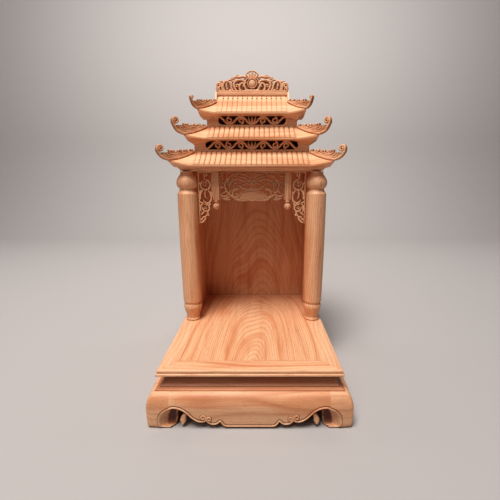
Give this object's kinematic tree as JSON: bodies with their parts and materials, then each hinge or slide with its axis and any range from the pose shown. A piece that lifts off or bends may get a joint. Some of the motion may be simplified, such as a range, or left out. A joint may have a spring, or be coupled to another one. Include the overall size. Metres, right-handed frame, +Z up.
{
  "type": "household altar cabinet",
  "caption": "Wooden household altar cabinet with an open niche between turned columns, a pierced head screen, a tiered tiled roof and a scrolled, bulging base.",
  "frame": {"origin": "on the floor plane, under the middle of the whole cabinet", "axes": "+Z up, the open front faces -Y, +X to the right of someone facing it"},
  "size_m": [0.5048, 0.5843, 0.871],
  "materials": {
    "pale_wood": "satin clear lacquer over light reddish-brown hardwood",
    "figured_wood": "satin clear lacquer over light reddish-brown hardwood",
    "warm_wood": "satin clear lacquer over light reddish-brown hardwood",
    "carved_wood": "satin clear lacquer over light reddish-brown hardwood",
    "turned_wood": "satin clear lacquer over light reddish-brown hardwood",
    "board_wood": "satin clear lacquer over light reddish-brown hardwood",
    "roof_wood": "satin clear lacquer over light reddish-brown hardwood"
  },
  "bodies": {
    "root": {"platform_rail_front": "pale_wood", "waist_front": "warm_wood", "apron_front": "carved_wood", "platform_rail_right": "pale_wood", "waist_right": "warm_wood", "apron_right": "carved_wood", "platform_rail_back": "pale_wood", "waist_back": "warm_wood", "apron_back": "carved_wood", "platform_rail_left": "pale_wood", "waist_left": "warm_wood", "apron_left": "carved_wood", "platform_panel": "figured_wood", "leg_front_left": "carved_wood", "leg_back_left": "carved_wood", "column_left": "turned_wood", "side_wall_left": "board_wood", "pendant_post_left": "turned_wood", "bracket_left": "carved_wood", "leg_front_right": "carved_wood", "leg_back_right": "carved_wood", "column_right": "turned_wood", "side_wall_right": "board_wood", "pendant_post_right": "turned_wood", "bracket_right": "carved_wood", "back_panel": "board_wood", "ceiling_board": "board_wood", "head_screen": "carved_wood", "roof_tier_1": "roof_wood", "hip_board_1_front_left": "carved_wood", "hip_board_1_front_right": "carved_wood", "hip_board_1_back_left": "carved_wood", "hip_board_1_back_right": "carved_wood", "storey_1_front": "carved_wood", "storey_1_right": "carved_wood", "storey_1_back": "carved_wood", "storey_1_left": "carved_wood", "roof_tier_2": "roof_wood", "hip_board_2_front_left": "carved_wood", "hip_board_2_front_right": "carved_wood", "hip_board_2_back_left": "carved_wood", "hip_board_2_back_right": "carved_wood", "storey_2_front": "carved_wood", "storey_2_right": "carved_wood", "storey_2_back": "carved_wood", "storey_2_left": "carved_wood", "roof_tier_3": "roof_wood", "hip_board_3_front_left": "carved_wood", "hip_board_3_front_right": "carved_wood", "hip_board_3_back_left": "carved_wood", "hip_board_3_back_right": "carved_wood", "gable_board_left": "carved_wood", "gable_board_right": "carved_wood", "ridge_beam": "roof_wood", "ridge_crest": "carved_wood"}
  },
  "joints": []
}
